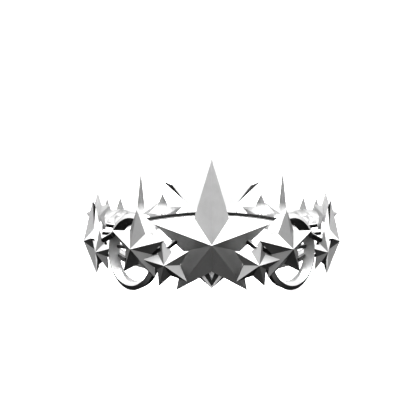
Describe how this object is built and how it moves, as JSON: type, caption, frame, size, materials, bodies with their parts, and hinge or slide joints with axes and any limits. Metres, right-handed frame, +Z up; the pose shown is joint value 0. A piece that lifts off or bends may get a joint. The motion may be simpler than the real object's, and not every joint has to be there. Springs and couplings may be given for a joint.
{
  "type": "star crown",
  "caption": "Crown of faceted metal stars and ridged hoops standing on short posts around a slim round head band, tallest at the front.",
  "frame": {"origin": "on the axis of the round head band, in the plane the crown stands on, which is the level of the side stars' lower tips", "axes": "+Z up, -Y the front (the way the wearer looks), +X the wearer's left, which is the right-hand side seen from the front"},
  "size_m": [0.1928, 0.1842, 0.1003],
  "materials": {
    "star_metal": "satin silver facets with crisp edges",
    "hoop_metal": "satin silver, turned",
    "band_metal": "satin silver strip, rolled",
    "post_metal": "plain drawn rod",
    "rivet_metal": "plain, peened heads",
    "drop_metal": "satin silver facets"
  },
  "bodies": {
    "root": {"drop_hanger": "drop_metal", "drop_kite": "drop_metal", "drop_plate": "drop_metal", "drop_rim": "drop_metal", "head_band": "band_metal", "hoop_left": "hoop_metal", "hoop_right": "hoop_metal", "link_centre_left": "post_metal", "link_centre_right": "post_metal", "link_hoop_left": "post_metal", "link_hoop_right": "post_metal", "link_side_left": "post_metal", "link_side_right": "post_metal", "pins_hoop_left": "post_metal", "pins_hoop_right": "post_metal", "post_front_centre_left": "post_metal", "post_front_centre_right": "post_metal", "post_front_small_left": "post_metal", "post_front_small_right": "post_metal", "post_rear_centre_left": "post_metal", "post_rear_centre_right": "post_metal", "post_rear_low_left": "post_metal", "post_rear_low_right": "post_metal", "post_rear_narrow_left": "post_metal", "post_rear_narrow_right": "post_metal", "post_rear_side_left": "post_metal", "post_rear_side_right": "post_metal", "post_rear_small_left": "post_metal", "post_rear_small_right": "post_metal", "post_rear_tall_left": "post_metal", "post_rear_tall_right": "post_metal", "post_side_large_left": "post_metal", "post_side_large_right": "post_metal", "post_side_small_left": "post_metal", "post_side_small_right": "post_metal", "posts_hoop_left": "post_metal", "posts_hoop_right": "post_metal", "splice_plate": "band_metal", "splice_rivets": "rivet_metal", "star_front_centre": "star_metal", "star_front_hooped_left": "star_metal", "star_front_hooped_right": "star_metal", "star_front_small_left": "star_metal", "star_front_small_right": "star_metal", "star_rear_centre": "star_metal", "star_rear_low_left": "star_metal", "star_rear_low_right": "star_metal", "star_rear_narrow_left": "star_metal", "star_rear_narrow_right": "star_metal", "star_rear_side_left": "star_metal", "star_rear_side_right": "star_metal", "star_rear_small_left": "star_metal", "star_rear_small_right": "star_metal", "star_rear_tall_left": "star_metal", "star_rear_tall_right": "star_metal", "star_side_large_left": "star_metal", "star_side_large_right": "star_metal", "star_side_small_left": "star_metal", "star_side_small_right": "star_metal"}
  },
  "joints": []
}
